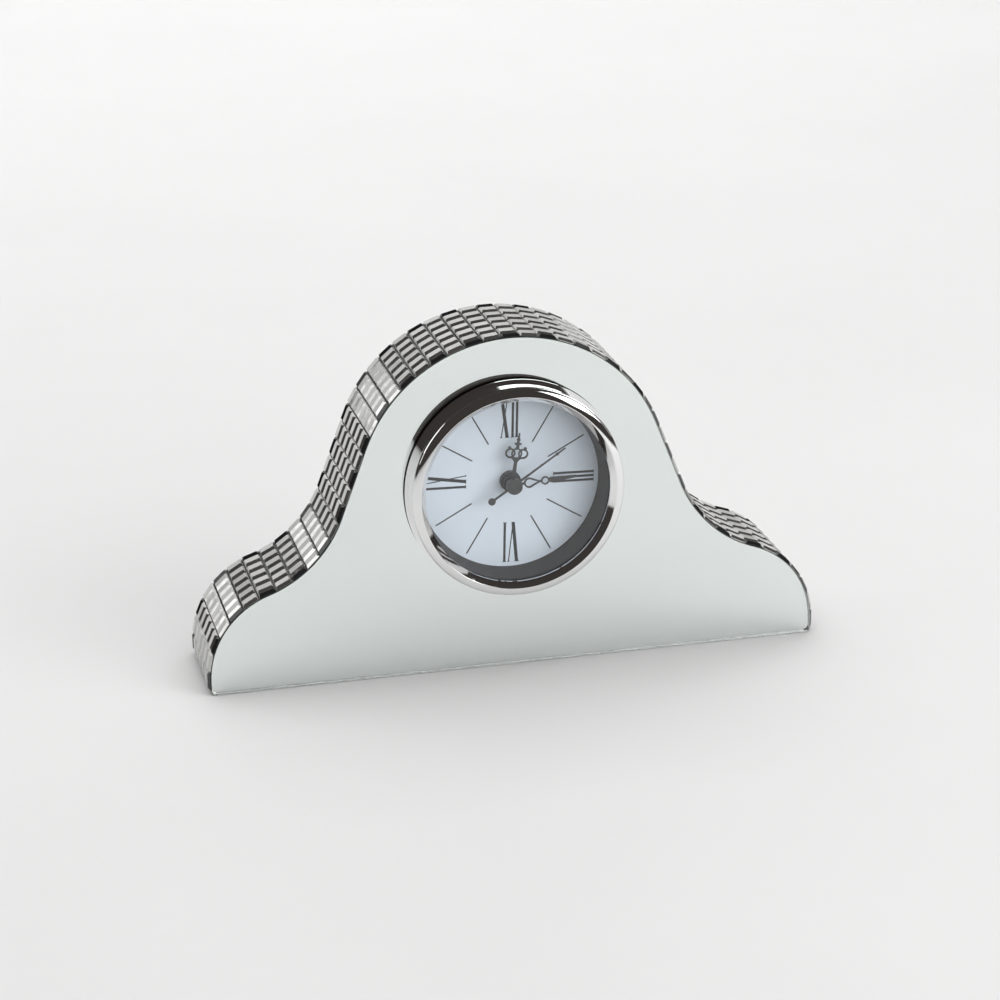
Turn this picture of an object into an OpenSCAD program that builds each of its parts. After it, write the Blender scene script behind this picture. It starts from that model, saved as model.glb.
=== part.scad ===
// Tambour mantel clock with a mirror front, a mosaic rim and a push-in quartz clock.
// It stands on z = 0, its front looks towards -Y and x = 0 is its middle plane.
// Outlines are drawn in x and z. Depths inside the movement count back from the dial's rear face.

/* [Case] */
// Width of the front mirror at its feet
case_w = 300; // [292:1:310]
// Depth of the case from the mirror's face to the back board
case_d = 57.5; // [55:0.5:66]
// Radius of the dome
dome_r = 76.1; // [74:0.1:78]
// Height of the dome's centre above the table
dome_z = 89.3; // [88:0.1:92]
// Lean of the straight flanks from upright, in degrees
flank_lean = 21; // [19:0.5:23]
// Radius of the hollow flare below each flank
flare_r = 60; // [56:0.5:64]
// Radius of the rounded shoulders
shoulder_r = 43.5; // [40:0.5:46]
// Height of the upright foot below each shoulder
foot_rise = 7; // [5:0.5:9]
// Radius of the mirror's lower corners
corner_r = 2.5; // [1:0.5:4]
// Thickness of the mirror glass
mirror_t = 3; // [2:0.5:4]
// Gap between the mirror and the table
mirror_lift = 0.2; // [0.1:0.05:0.4]
// Thickness of the front board
board_t = 5; // [4:0.5:6]
// Thickness of the bent rim
rim_t = 4; // [3:0.5:5]
// Thickness of the back board
back_t = 3; // [2.5:0.5:5]
// Thickness of the base board
base_t = 6; // [4:0.5:8]
// Thickness of the felt sheet under the base
felt_t = 1; // [0.5:0.1:1.5]
// How far the felt stays inside the boards
felt_inset = 2; // [1:0.5:6]
// Side of the square battens that hold the back board
batten_w = 10; // [8:0.5:11]
// Radius of the access hole in the back board
access_r = 40; // [34:0.5:44]

/* [Mosaic] */
// Chip columns from the one at the dome's top down to the foot
columns = 27; // [20:1:30]
// Chip rows across the depth
rows = 6; // [5:1:8]
// Joint between neighbouring chips
chip_gap = 0.45; // [0.3:0.05:0.8]
// Height of a chip
chip_h = 1.5; // [1:0.1:2]
// Height of a chip's upright edge below its bevels
chip_edge = 0.4; // [0.2:0.1:0.8]
// Width of the bevels along the long edges
chip_bevel = 1.1; // [0.8:0.1:1.6]
// Width of the bevels at the ends
end_bevel = 0.35; // [0.2:0.05:0.8]
// Glue under the chips
chip_seat = 0.1; // [0.05:0.05:0.25]
// Width of the mirror's edge that stays bare in front of the chips
chip_start = 0.4; // [0.3:0.1:2]
// Height of the bare strip between the table and the lowest chips
chip_stop = 2.5; // [1.5:0.5:4]

/* [Push-in clock] */
// Height of the dial's centre above the table
clock_z = 91.7; // [90:0.1:94]
// Outer radius of the bezel's foot
bezel_r = 53.4; // [53:0.1:55]
// Width of the bezel's foot outside its wall
foot_w = 1.2; // [0.8:0.1:1.4]
// Thickness of the bezel's foot
foot_t = 0.8; // [0.5:0.1:1.5]
// Inner radius of the bezel's lip
lip_r = 45.2; // [44.8:0.1:45.6]
// Thickness of the bezel's lip at its edge
lip_t = 0.5; // [0.4:0.1:1]
// Height of the bezel's crest in front of its lip
crest_h = 3.4; // [3:0.1:4]
// Radius between the bezel's lip and its crest
crest_in_r = 2.4; // [2:0.1:2.8]
// Radius of the broad front outside the crest
nose_r = 7; // [6.5:0.5:9]
// Radius of the bezel's outer edge
edge_r = 0.8; // [0.5:0.1:1]
// Step between the bezel's wall and its rounded nose
bezel_step = 0.2; // [0.2:0.1:0.6]
// Thickness of the lens
lens_t = 1.5; // [1:0.1:2]
// How far the lens reaches behind the lip
lens_lap = 2.8; // [2.5:0.1:3.2]
// Height of the inner ring in front of the mirror
ring_h = 7; // [4:0.1:8]
// Depth of the dial behind the mirror's face
dial_depth = 9.5; // [8:0.1:12]
// Thickness of the dial
dial_t = 0.8; // [0.5:0.1:1]
// Thickness of the printed numerals
print_t = 0.06; // [0.05:0.01:0.1]
// Radius of the dial that shows inside the inner ring
dial_show_r = 44; // [43:0.1:44.4]
// Outer radius of the can
can_r = 46.6; // [46.4:0.1:47.4]
// Wall of the can
can_wall = 1.2; // [1:0.1:1.4]
// Thickness of the can's front flange
flange_t = 1; // [0.8:0.1:1.5]
// Width of the ledge in the can that carries the dial
ledge_w = 1.8; // [1.2:0.1:2]
// How far the can reaches behind the movement
can_tail = 2.5; // [1:0.5:5]
// Thickness of the rubber grip band
band_t = 2; // [1.5:0.1:2.5]
// Gap round the can in the mirror
hole_gap = 0.6; // [0.4:0.1:1]
// Gap between pieces that slip together by hand
slip = 0.1; // [0.05:0.01:0.15]

/* [Dial print] */
// Inner radius of the numerals and hour lines
print_in_r = 21.5; // [20:0.5:23]
// Outer radius of the numerals and hour lines
print_out_r = 41.8; // [40:0.1:43]
// Width of an hour line
line_w = 0.65; // [0.4:0.05:1]
// Turn of the printed dial from upright, in degrees
dial_turn = 2; // [-3:0.5:3]
// Width of a numeral's thick strokes
thick_w = 1.15; // [0.9:0.05:1.3]
// Width of the thick strokes that lean
heavy_w = 1.6; // [1.3:0.05:1.7]
// Width of a numeral's thin strokes
thin_w = 0.5; // [0.3:0.1:0.8]
// Gap between neighbouring strokes
stroke_gap = 0.9; // [0.8:0.05:1.2]
// How far a serif reaches beside its stroke
serif_w = 0.3; // [0.2:0.05:0.35]
// Thickness of a serif
serif_t = 0.35; // [0.2:0.05:0.5]

/* [Hands] */
// Angle of the hour hand past twelve, in degrees
hour_angle = 9; // [0:1:359]
// Angle of the minute hand past twelve, in degrees
minute_angle = 87; // [0:1:359]
// Angle of the second hand past twelve, in degrees
second_angle = 57; // [0:1:359]
// Length of the hour hand
hour_l = 25.5; // [23:0.5:30]
// Length of the minute hand
minute_l = 31; // [28:0.5:38]
// Length of the second hand
second_l = 30.6; // [26:0.2:38]
// Length of the second hand's tail
tail_l = 14.8; // [11:0.2:17]
// Thickness of a hand
hand_t = 0.6; // [0.4:0.1:0.8]
// Radius of the hour hand's collar
hour_collar_r = 4.3; // [4:0.1:5]
// Radius of the minute hand's collar
minute_collar_r = 3.7; // [3:0.1:4.5]
// Radius of the cap on the second hand
cap_r = 3.9; // [2:0.1:4.5]
// Height of the cap on the second hand
cap_h = 2.4; // [1.5:0.1:4]
// Gap between one hand and the next
hand_gap = 1.2; // [0.8:0.1:1.3]

/* [Movement] */
// Side of the square movement
move_w = 56; // [56:0.5:58]
// Depth of the movement
move_d = 18; // [18:0.5:19]
// Wall of the movement's mouldings
move_wall = 1.2; // [1:0.1:1.3]
// Depth of the front moulding
split = 8; // [8:0.1:8.3]
// Thickness of the gear plate
plate_t = 1; // [0.8:0.1:1.1]
// Outer radius of the threaded neck
neck_r = 4; // [3.8:0.1:4.3]
// Length of the neck in front of the movement
neck_l = 5; // [4.8:0.1:5.2]
// Thickness of the washer
washer_t = 0.5; // [0.3:0.1:0.8]
// Thickness of the fixing nut
nut_t = 2.4; // [2:0.1:2.6]
// Wall of the round fixing nut
nut_wall = 1; // [0.9:0.05:1.4]
// Radius of the battery
battery_r = 7.1; // [6.9:0.05:7.2]
// Length of the battery without its button
battery_l = 49.2; // [48.6:0.1:49.4]
// Length of the battery's button
button_l = 1.3; // [1:0.1:1.4]
// Thickness of the contact strips
contact_t = 0.4; // [0.3:0.05:0.5]
// Radius of the setting knob
knob_r = 5; // [4:0.1:6]
// Height of the setting knob
knob_h = 3.6; // [3:0.1:4]

/* [Gears] */
// Running gap round a shaft
run_gap = 0.05; // [0.03:0.01:0.08]
// Radius of the seconds shaft
second_shaft_r = 0.45; // [0.4:0.01:0.5]
// Outer radius of the minute tube
minute_tube_r = 1.55; // [1.4:0.05:1.7]
// Outer radius of the hour pipe
hour_pipe_r = 2.55; // [2.4:0.05:2.7]
// Radius of the small arbors and pivots
arbor_r = 0.5; // [0.4:0.05:0.55]
// Thickness of a wheel
wheel_t = 0.8; // [0.6:0.05:0.9]
// Distance from the centre to the third arbor
third_dist = 9; // [8.8:0.1:9.4]
// Distance from the centre to the intermediate arbor
inter_dist = 7; // [6.9:0.1:7.4]
// Distance from the intermediate arbor to the rotor
rotor_dist = 6.8; // [6.6:0.1:6.8]
// Distance from the centre to the minute wheel's post
minute_dist = 8; // [7.8:0.1:8.4]
// Radius of the rotor's magnet
magnet_r = 1.5; // [1.2:0.1:1.8]

/* [Hidden] */
$fn = 96;
eps = 0.01;

// Depths of the case, front to back
y_front = -case_d/2;
y_board = y_front + mirror_t;
y_rim = y_board + board_t;
y_back = case_d/2;
y_inner = y_back - back_t;

// The outline is dome, flank, hollow flare, shoulder and foot, each tangent to the next
dome_c = [0, dome_z];
shoulder_c = [case_w/2 - shoulder_r, foot_rise];
flank_out = [cos(flank_lean), sin(flank_lean)];
flank_down = [sin(flank_lean), -cos(flank_lean)];
flare_start = dome_c + (dome_r + flare_r)*flank_out - shoulder_c;
flare_reach = flare_r + shoulder_r;
flare_along = flare_start*flank_down;
flank_l = -flare_along - sqrt(flare_along*flare_along - flare_start*flare_start + flare_reach*flare_reach);
flare_c = shoulder_c + flare_start + flank_l*flank_down;
flare_dir = (flare_c - shoulder_c)/flare_reach;
flare_angle = atan2(flare_dir[1], flare_dir[0]);

// Lengths along the outline from the dome's top
degree = PI/180;
dome_end = dome_r*(90 - flank_lean)*degree;
flank_end = dome_end + flank_l;
flare_end = flank_end + flare_r*(flare_angle - flank_lean)*degree;
shoulder_end = flare_end + shoulder_r*flare_angle*degree;
foot_end = shoulder_end + foot_rise - chip_stop;

// The push-in clock, front to back
lens_r = lip_r + lens_lap;
bezel_in_r = lens_r + 2*slip;
y_lens = y_front - ring_h;
y_lip = y_lens - lens_t;
y_nose = y_lip - lip_t;
wall_r = bezel_r - foot_w;
can_in_r = can_r - can_wall;
dial_r = can_in_r - 2*slip;
mirror_hole_r = can_r + hole_gap;
board_hole_r = can_r + band_t;
y_dial = y_front + dial_depth;
y_move = y_dial + dial_t;
y_can = y_move + move_d + can_tail;

// Battens stand clear of the can and inside the rim
batten_reach = (dome_r - rim_t + board_hole_r + clock_z - dome_z)/2;
batten_dome = batten_reach*[cos(50), sin(50)] + dome_c;
batten_foot = shoulder_c + [shoulder_r/4, shoulder_r/3];
battens = [batten_dome, batten_foot];
screw_r = 1.5;
screw_head_r = 3;
screw_l = 14;

// Nested tubes on the centre arbor
second_bore_r = second_shaft_r + run_gap;
minute_bore_r = minute_tube_r + run_gap;
neck_bore_r = hour_pipe_r + run_gap;
pivot_bore_r = arbor_r + run_gap;

// Layers of the movement, counted back from the dial's rear face
layer_gap = 0.35;
hour_s = move_wall + layer_gap;
cannon_s = hour_s + wheel_t + layer_gap;
cannon_l = wheel_t + 0.7;
minute_s = cannon_s + layer_gap;
centre_s = cannon_s + cannon_l + layer_gap;
third_s = centre_s + 2*wheel_t + layer_gap;
plate_s = split;
seconds_s = plate_s + plate_t + layer_gap;
inter_s = seconds_s + wheel_t + 2*layer_gap;
magnet_s = inter_s + wheel_t + 3*layer_gap;
magnet_l = 2;
rear_wall_s = move_d - move_wall;
boss_l = 1.6;

// Hands, counted forward from the neck's end
hour_hand_s = -neck_l - hand_gap;
minute_hand_s = hour_hand_s - hand_t - hand_gap;
second_hand_s = minute_hand_s - hand_t - hand_gap/2;

// Teeth of each wheel and leaves of each pinion
rotor_leaves = 8;
inter_teeth = 60;
inter_leaves = 8;
seconds_teeth = 32;
seconds_leaves = 8;
third_teeth = 60;
third_leaves = 8;
centre_teeth = 64;
cannon_leaves = 12;
minute_teeth = 36;
minute_leaves = 10;
hour_teeth = 40;
set_leaves = 12;

// Shares of the pitch or module: half width at pitch, tip and root, then height above and below pitch
wheel_form = [0.19, 0.06, 0.23, 0.85, 1.15];
leaf_form = [0.155, 0.06, 0.17, 0.75, 1.25];

// Directions from arbor to arbor, in degrees from +x seen from the front
third_dir = 45;
inter_dir = 150;
rotor_dir = 120;
minute_dir = 180;
set_dir = minute_dir + 2*360/minute_teeth;
third_at = third_dist*[cos(third_dir), sin(third_dir)];
inter_at = inter_dist*[cos(inter_dir), sin(inter_dir)];
rotor_at = inter_at + rotor_dist*[cos(rotor_dir), sin(rotor_dir)];
minute_at = minute_dist*[cos(minute_dir), sin(minute_dir)];
minute_mod = 2*minute_dist/(cannon_leaves + minute_teeth);
set_dist = minute_mod*(minute_teeth + set_leaves)/2;
set_at = minute_at + set_dist*[cos(set_dir), sin(set_dir)];
set_shaft_r = 1;

// Battery bay, coil and board places, from the centre
move_in = move_w/2 - move_wall;
bay_top = -move_in + 2*battery_r + 1;
battery_at = -move_in + battery_r + 0.3;
battery_s = battery_r + move_wall + 0.8;
battery_start = move_in - contact_t - button_l - battery_l;
coil_room = 5.2;
coil_z = move_in - coil_room;
coil_half = 9;
coil_x = 3;
coil_r = 3.4;
bobbin_t = 0.8;
stator_w = 5;
stator_t = 1;
stator_s = magnet_s + 0.4;
core_s = stator_s - stator_t;
stud_r = 1.2;
stator_right = coil_x + coil_half + stator_w/2 + slip;
stator_left = rotor_at[0];
core_w = 2.6;
board_at = [9, -8.6];
board_size = [14.5, 13];
circuit_t = 1;
circuit_s = plate_s + plate_t;

// Helpers that place flat and turned shapes

module slab(y0, y1) {
    translate([0, y1, 0]) rotate([90, 0, 0]) linear_extrude(y1 - y0) children();
}

module turned() {
    translate([0, 0, clock_z]) rotate([-90, 0, 0]) rotate_extrude() children();
}

// A flat shape about the dial's centre, between two depths of the movement
module layer(s0, s1) {
    translate([0, 0, clock_z]) slab(y_move + s0, y_move + s1) children();
}

module disc_at(place, radius) {
    translate(place) circle(radius);
}

module rounded_square(w, h, r) {
    square([w, h - 2*r], center = true);
    square([w - 2*r, h], center = true);
    for (i = [-1, 1], j = [-1, 1]) translate([i*(w/2 - r), j*(h/2 - r)]) circle(r);
}

// One side of the case outline, drawn inside the true one by inset
module half_outline(inset, floor_z) {
    flank_top = dome_c + (dome_r - inset)*flank_out;
    flank_low = flank_top + flank_l*flank_down;
    flare_low = shoulder_c + (shoulder_r - inset)*flare_dir;
    foot_x = case_w/2 - inset;
    difference() {
        union() {
            translate(dome_c) circle(dome_r - inset);
            translate(shoulder_c) circle(shoulder_r - inset);
            polygon([[0, floor_z], [foot_x, floor_z], [foot_x, foot_rise], shoulder_c, flare_low,
                flank_low, flank_top, dome_c]);
        }
        translate(flare_c) circle(flare_r + inset);
        translate([-case_w, floor_z - case_w]) square([2*case_w, case_w]);
    }
}

module case_outline(inset, floor_z) {
    half_outline(inset, floor_z);
    mirror([1, 0]) half_outline(inset, floor_z);
}

// Case

module front_mirror() {
    color("lightcyan") slab(y_front, y_board) difference() {
        case_outline(0, mirror_lift);
        disc_at([0, clock_z], mirror_hole_r);
        for (side = [0, 1]) mirror([side, 0]) lower_corner();
    }
}

// What is ground off a square corner of the mirror to round it
module lower_corner() {
    centre = [case_w/2 - corner_r, mirror_lift + corner_r];
    difference() {
        translate(centre - [0, corner_r + eps]) square(corner_r + eps);
        translate(centre) circle(corner_r);
    }
}

module front_board() {
    color("dimgray") slab(y_board, y_rim) difference() {
        case_outline(0, felt_t);
        disc_at([0, clock_z], board_hole_r);
    }
}

module case_rim() {
    color("dimgray") slab(y_rim, y_inner) difference() {
        case_outline(0, felt_t);
        case_outline(rim_t, felt_t - rim_t);
    }
}

module base_board() {
    color("dimgray") slab(y_rim, y_inner) intersection() {
        case_outline(rim_t, felt_t);
        translate([-case_w/2, felt_t]) square([case_w, base_t]);
    }
}

module back_board() {
    color("dimgray") difference() {
        slab(y_inner, y_back) difference() {
            case_outline(0, felt_t);
            disc_at([0, clock_z], access_r);
            screw_places() circle(screw_r + slip);
        }
        slab(y_back - back_t/2, y_back + eps) screw_places() circle(screw_head_r + slip);
    }
}

module screw_places() {
    for (side = [-1, 1], place = battens) translate([side*place[0], place[1]]) children();
}

module case_battens() {
    color("burlywood") difference() {
        slab(y_rim, y_inner) screw_places() square(batten_w, center = true);
        slab(y_back - screw_l - 1, y_back) screw_places() circle(screw_r);
    }
}

module back_screws() {
    color("silver") {
        slab(y_back - screw_l, y_back - back_t/2) screw_places() circle(screw_r - run_gap);
        slab(y_back - back_t/2, y_back - eps) screw_places() difference() {
            circle(screw_head_r);
            square([0.8, 2.6], center = true);
            square([2.6, 0.8], center = true);
        }
    }
}

module felt_base() {
    y_felt = y_board + felt_inset;
    color("black") translate([felt_inset - case_w/2, y_felt, 0])
        cube([case_w - 2*felt_inset, -2*y_felt, felt_t]);
}

// Mosaic: a point on the right outline at a length from the dome's top, with its outward angle

function outline_angle(l) =
    l < dome_end ? 90 - l/dome_r/degree :
    l < flank_end ? flank_lean :
    l < flare_end ? flank_lean + (l - flank_end)/flare_r/degree :
    l < shoulder_end ? flare_angle - (l - flare_end)/shoulder_r/degree : 0;

function outline_point(l) = let (out = [cos(outline_angle(l)), sin(outline_angle(l))])
    l < dome_end ? dome_c + dome_r*out :
    l < flank_end ? dome_c + dome_r*flank_out + (l - dome_end)*flank_down :
    l < flare_end ? flare_c - flare_r*out :
    l < shoulder_end ? shoulder_c + shoulder_r*out : [case_w/2, foot_rise - (l - shoulder_end)];

pitch = foot_end/(columns - 0.5);
y_chips = y_front + chip_start;
row_pitch = (y_back - y_chips)/rows;
chip_l = pitch - chip_gap;
chip_w = row_pitch - chip_gap;
half_w = row_pitch/2 - chip_gap;
flare_lift = chip_l*chip_l/8/flare_r;

// A chip lying flat, bevelled on four sides, with its length along x
module chip(width, bevel) {
    intersection() {
        rotate([90, 0, 90]) linear_extrude(chip_l, center = true) bevelled(width, bevel);
        rotate([90, 0, 0]) linear_extrude(width, center = true) bevelled(chip_l, end_bevel);
    }
}

module bevelled(width, bevel) {
    polygon([[-width/2, 0], [width/2, 0], [width/2, chip_edge], [width/2 - bevel, chip_h],
        [bevel - width/2, chip_h], [-width/2, chip_edge]]);
}

// Puts children on the outline at column k, counted from the dome's top
module on_outline(k) {
    l = k*pitch;
    in_flare = l > flank_end - chip_l/2 && l < flare_end + chip_l/2;
    lift = chip_seat + (in_flare ? flare_lift : 0);
    place = outline_point(l);
    translate([place[0], 0, place[1]]) rotate([0, 90 - outline_angle(l), 0])
        translate([0, 0, lift]) children();
}

// A chip cut in two along its length, with its raw cut towards -y
module cut_chip() {
    intersection() {
        rotate([90, 0, 90]) linear_extrude(chip_l, center = true) polygon([[-half_w/2, 0], [half_w/2, 0],
            [half_w/2, chip_edge], [half_w/2 - chip_bevel, chip_h], [-half_w/2, chip_h]]);
        rotate([90, 0, 0]) linear_extrude(half_w, center = true) bevelled(chip_l, end_bevel);
    }
}

// Every second column, also the top one, is set back by half a chip and has a dark cut chip at each end
function is_set_back(k) = k%2 == 0;

module full_chips(set_back) {
    start = y_chips + (set_back ? row_pitch : row_pitch/2);
    for (row = [0 : rows - (set_back ? 2 : 1)])
        translate([0, start + row*row_pitch, 0]) chip(chip_w, chip_bevel);
}

module mosaic_columns(first, last, side) {
    color("gainsboro") for (k = [first : last])
        mirror([side < 0 ? 1 : 0, 0, 0]) on_outline(k) full_chips(is_set_back(k));
}

dome_columns = floor(dome_end/pitch);

module mosaic_left() {
    mosaic_columns(dome_columns, columns - 1, -1);
}

module mosaic_dome() {
    mosaic_columns(1, dome_columns - 1, -1);
    mosaic_columns(0, dome_columns - 1, 1);
}

module mosaic_right() {
    mosaic_columns(dome_columns, columns - 1, 1);
}

module mosaic_half_chips() {
    color("black") for (side = [-1, 1]) for (k = [side < 0 ? 1 : 0 : columns - 1]) if (is_set_back(k))
        mirror([side < 0 ? 1 : 0, 0, 0]) on_outline(k) {
            translate([0, y_chips + row_pitch/4, 0]) cut_chip();
            translate([0, y_back - row_pitch/4, 0]) mirror([0, 1, 0]) cut_chip();
        }
}

// Push-in clock: profiles are drawn as radius and depth

module bezel() {
    front_r = wall_r - bezel_step;
    y_crest = y_nose - crest_h;
    crest_r = lip_r + crest_in_r;
    edge_out = front_r - edge_r - crest_r;
    edge_from = crest_r + edge_out*nose_r/(nose_r - edge_r);
    edge_y = y_crest + nose_r + 3*eps - sqrt(pow(nose_r - edge_r, 2) - edge_out*edge_out);
    color("silver") turned() difference() {
        polygon([[bezel_in_r, y_front], [bezel_r, y_front], [bezel_r, y_front - foot_t],
            [wall_r, y_front - foot_t], [wall_r, y_nose], [front_r, y_nose], [front_r, y_crest],
            [lip_r, y_crest], [lip_r, y_lip], [bezel_in_r, y_lip]]);
        difference() {
            translate([lip_r - eps, y_crest - eps]) square([crest_in_r + eps, crest_in_r + eps]);
            translate([crest_r, y_crest + crest_in_r]) circle(crest_in_r);
        }
        difference() {
            translate([crest_r, y_crest - eps]) square([front_r - crest_r + eps, crest_h]);
            translate([crest_r, y_crest + nose_r]) circle(nose_r, $fn = 240);
        }
        difference() {
            translate([edge_from, y_crest - eps]) square([front_r - edge_from + eps, edge_y - y_crest + eps]);
            translate([crest_r + edge_out, edge_y]) circle(edge_r);
        }
    }
}

module lens() {
    color("azure", 0.3) turned() translate([0, y_lip]) square([lens_r, lens_t]);
}

module inner_ring() {
    color("dimgray") turned() polygon([[dial_show_r, y_dial], [can_in_r - slip, y_dial],
        [can_in_r - slip, y_front - flange_t], [lens_r, y_front - flange_t], [lens_r, y_lens],
        [lip_r - slip, y_lens]]);
}

module dial() {
    color("aliceblue") turned() translate([neck_r + slip, y_dial]) square([dial_r - neck_r - slip, dial_t]);
}

// Upright strokes of a numeral: x of the foot, x of the head and width, for a numeral outside the centre
module stroke(foot_x, head_x, w) {
    polygon([[foot_x - w/2, print_in_r], [foot_x + w/2, print_in_r], [head_x + w/2, print_out_r],
        [head_x - w/2, print_out_r]]);
}

module serif(x, r, w) {
    translate([x - w/2 - serif_w, r]) square([w + 2*serif_w, serif_t]);
}

module head_serif(x, w) {
    serif(x, print_out_r - serif_t, w);
}

module one(x) {
    stroke(x, x, thick_w);
    serif(x, print_in_r, thick_w);
    head_serif(x, thick_w);
}

module five(x) {
    spread = thick_w + stroke_gap;
    stroke(x, x - spread, heavy_w);
    stroke(x, x + spread, thin_w);
    head_serif(x - spread, heavy_w);
    head_serif(x + spread, thin_w);
}

// Its thick stroke leans left at the head, or right where lean is -1
module ten(x, lean) {
    spread = lean*(thick_w/2 + stroke_gap);
    stroke(x + spread, x - spread, heavy_w);
    stroke(x - spread, x + spread, thin_w);
    serif(x + spread, print_in_r, heavy_w);
    serif(x - spread, print_in_r, thin_w);
    head_serif(x - spread, heavy_w);
    head_serif(x + spread, thin_w);
}

module dial_print() {
    step = thick_w + stroke_gap;
    color("dimgray") translate([0, 0, clock_z]) slab(y_dial - print_t, y_dial) rotate(-dial_turn) {
        for (hour = [1 : 11]) if (hour%3 != 0) rotate(-30*hour) stroke(0, 0, line_w);
        ten(-3*step/2, 1);
        one(step/2);
        one(3*step/2);
        rotate(-90) for (i = [-1 : 1]) one(i*step);
        rotate(-180) {
            five(-step);
            one(step);
        }
        rotate(-270) {
            one(-step);
            ten(step, -1);
        }
    }
}

module clock_can() {
    flange_r = bezel_in_r - slip;
    color("black") turned() polygon([[can_in_r, y_front - flange_t], [flange_r, y_front - flange_t],
        [flange_r, y_front], [can_r, y_front], [can_r, y_can], [can_in_r, y_can],
        [can_in_r, y_move + ledge_w], [dial_r - ledge_w, y_move + ledge_w],
        [dial_r - ledge_w, y_move], [can_in_r, y_move]]);
}

module grip_band() {
    color("black") turned() translate([can_r, y_board]) square([band_t, board_t]);
}

// Movement mouldings

module move_walls(s0, s1) {
    layer(s0, s1) difference() {
        rounded_square(move_w, move_w, 2*move_wall);
        square(2*move_in, center = true);
    }
}

// Posts at the corners of the gear plate
module plate_posts() {
    post_r = 1.8;
    inset = 3;
    for (x = [-1, 1], z = [bay_top + move_wall + post_r/2, move_in - inset])
        translate([x*(move_in - inset), z]) circle(post_r);
}

module movement_front() {
    color("black") difference() {
        union() {
            layer(0, move_wall) rounded_square(move_w, move_w, 2*move_wall);
            move_walls(0, split);
            layer(-neck_l, 0) circle(neck_r);
            layer(move_wall, plate_s) plate_posts();
            layer(move_wall, minute_s + wheel_t + layer_gap/2) disc_at(minute_at, arbor_r);
            layer(move_wall, hour_s + wheel_t) disc_at(set_at, set_shaft_r + 1);
            layer(move_wall, hour_s) disc_at(third_at, arbor_r + 0.8);
            layer(move_wall, battery_s) for (x = [-1, 1])
                translate([x*move_in/2, battery_at]) square([2, battery_r], center = true);
            layer(move_wall, split) translate([-move_in, bay_top]) square([2*move_in, move_wall]);
        }
        layer(-neck_l - eps, move_wall + eps) circle(neck_bore_r);
        layer(move_wall/2, split) disc_at(set_at, set_shaft_r + run_gap);
        layer(move_wall/2, split) disc_at(third_at, pivot_bore_r);
        battery_space();
    }
}

module battery_space() {
    translate([-move_in, y_move + battery_s, clock_z + battery_at])
        rotate([0, 90, 0]) cylinder(r = battery_r + slip, h = 2*move_in);
}

module movement_rear() {
    color("black") difference() {
        union() {
            move_walls(split, move_d);
            layer(rear_wall_s, move_d) translate([-move_in, bay_top]) square([2*move_in, move_in - bay_top]);
            layer(plate_s + plate_t + layer_gap, move_d)
                translate([-move_in, bay_top]) square([2*move_in, move_wall]);
            layer(rear_wall_s - boss_l, move_d) {
                circle(second_shaft_r + 1.2);
                disc_at(inter_at, arbor_r + 1);
                disc_at(rotor_at, arbor_r + 1);
                disc_at(set_at, set_shaft_r + 1);
            }
        }
        layer(rear_wall_s - boss_l - eps, rear_wall_s) {
            circle(second_bore_r);
            disc_at(inter_at, pivot_bore_r);
            disc_at(rotor_at, pivot_bore_r);
        }
        layer(rear_wall_s - boss_l - eps, move_d + eps) disc_at(set_at, set_shaft_r + run_gap);
    }
}

module neck_washer() {
    color("gold") layer(-dial_t - washer_t, -dial_t) difference() {
        circle(neck_r + nut_wall);
        circle(neck_r + slip);
    }
}

module fixing_nut() {
    nut_r = neck_r + nut_wall;
    color("gold") layer(-dial_t - washer_t - nut_t, -dial_t - washer_t) difference() {
        circle(nut_r);
        circle(neck_r + run_gap);
        for (i = [0 : 3]) rotate(45 + 90*i) translate([nut_r, 0]) square(nut_wall, center = true);
    }
}

module gear_plate() {
    plate_z = bay_top + 2*move_wall;
    color("white") {
        layer(plate_s, plate_s + plate_t) difference() {
            translate([-move_in + slip, plate_z]) square([2*(move_in - slip), move_in - slip - plate_z]);
            circle(second_bore_r);
            disc_at(third_at, pivot_bore_r);
            disc_at(inter_at, pivot_bore_r);
            disc_at(rotor_at, pivot_bore_r);
            disc_at(set_at, set_shaft_r + 4*run_gap);
        }
        layer(plate_s + plate_t, core_s) for (x = [stator_left, stator_right]) disc_at([x, coil_z], stud_r);
        layer(plate_s + plate_t, stator_s) disc_at([stator_right, rotor_at[1]], stud_r);
    }
}

// Motor: stator plate, coil on its core, and the electronics

module stator() {
    half = stator_w/2;
    color("darkgray") layer(stator_s, stator_s + stator_t) difference() {
        union() {
            translate([stator_left - half, rotor_at[1]]) square([stator_w, coil_z - rotor_at[1] + half]);
            translate([stator_left, rotor_at[1] - half])
                square([stator_right - stator_left + half, stator_w]);
            translate([stator_right - half, rotor_at[1] - half])
                square([stator_w, coil_z - rotor_at[1] + stator_w]);
            disc_at(rotor_at, magnet_r + 2);
        }
        disc_at(rotor_at, magnet_r + 0.5);
        for (turn = [45, 225]) translate(rotor_at) rotate(turn) translate([magnet_r, 0])
            square([1.2, 0.5], center = true);
    }
}

module coil_core() {
    color("darkgray") layer(core_s, stator_s)
        translate([stator_left - core_w/2, coil_z - core_w/2])
            square([stator_right - stator_left + core_w, core_w]);
}

// Round along the coil's axis with a square hole for the core
module coil_round(x0, x1, radius) {
    core_mid = core_s + stator_t/2;
    difference() {
        translate([x0, y_move + core_mid, clock_z + coil_z]) rotate([0, 90, 0])
            cylinder(r = radius, h = x1 - x0);
        translate([x0 - 1, y_move + core_mid - stator_t/2 - slip, clock_z + coil_z - core_w/2 - slip])
            cube([x1 - x0 + 2, stator_t + 2*slip, core_w + 2*slip]);
    }
}

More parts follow.
